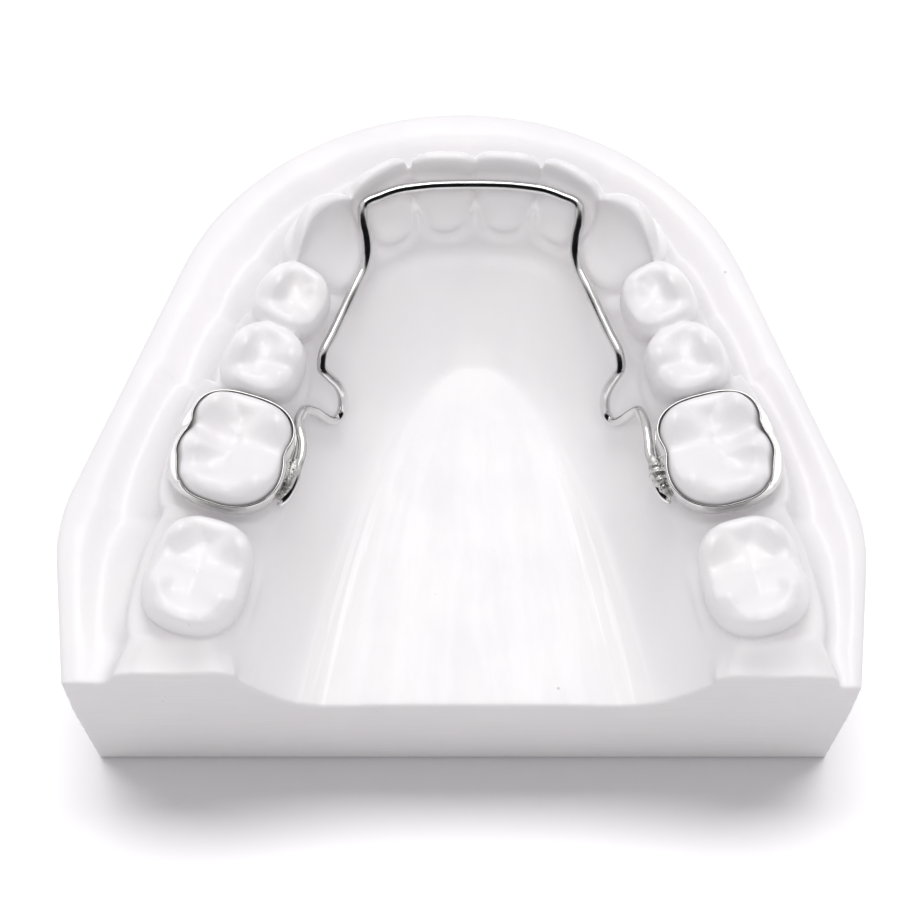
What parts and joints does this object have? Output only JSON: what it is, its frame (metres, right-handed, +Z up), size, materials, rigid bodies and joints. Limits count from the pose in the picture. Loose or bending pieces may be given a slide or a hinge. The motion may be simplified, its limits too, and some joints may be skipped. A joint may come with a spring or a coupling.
{
  "type": "dental study model with lingual arch",
  "caption": "White plaster cast of a lower dental arch carrying a bent steel wire soldered to a thin band on each first molar.",
  "frame": {"origin": "middle of the underside of the base, on the surface that the cast stands on", "axes": "+X to the right seen from the heel, +Y from the heel to the incisors, +Z up from the underside to the chewing surfaces"},
  "size_m": [0.0704, 0.0576, 0.0296],
  "materials": {
    "plaster": "soaped, smooth and slightly glossy",
    "steel": "polished",
    "solder": "satin"
  },
  "bodies": {
    "root": {"study_model": "plaster", "band_left": "steel", "band_right": "steel", "lingual_arch": "steel", "solder_joint_left": "solder", "solder_joint_right": "solder"}
  },
  "joints": []
}
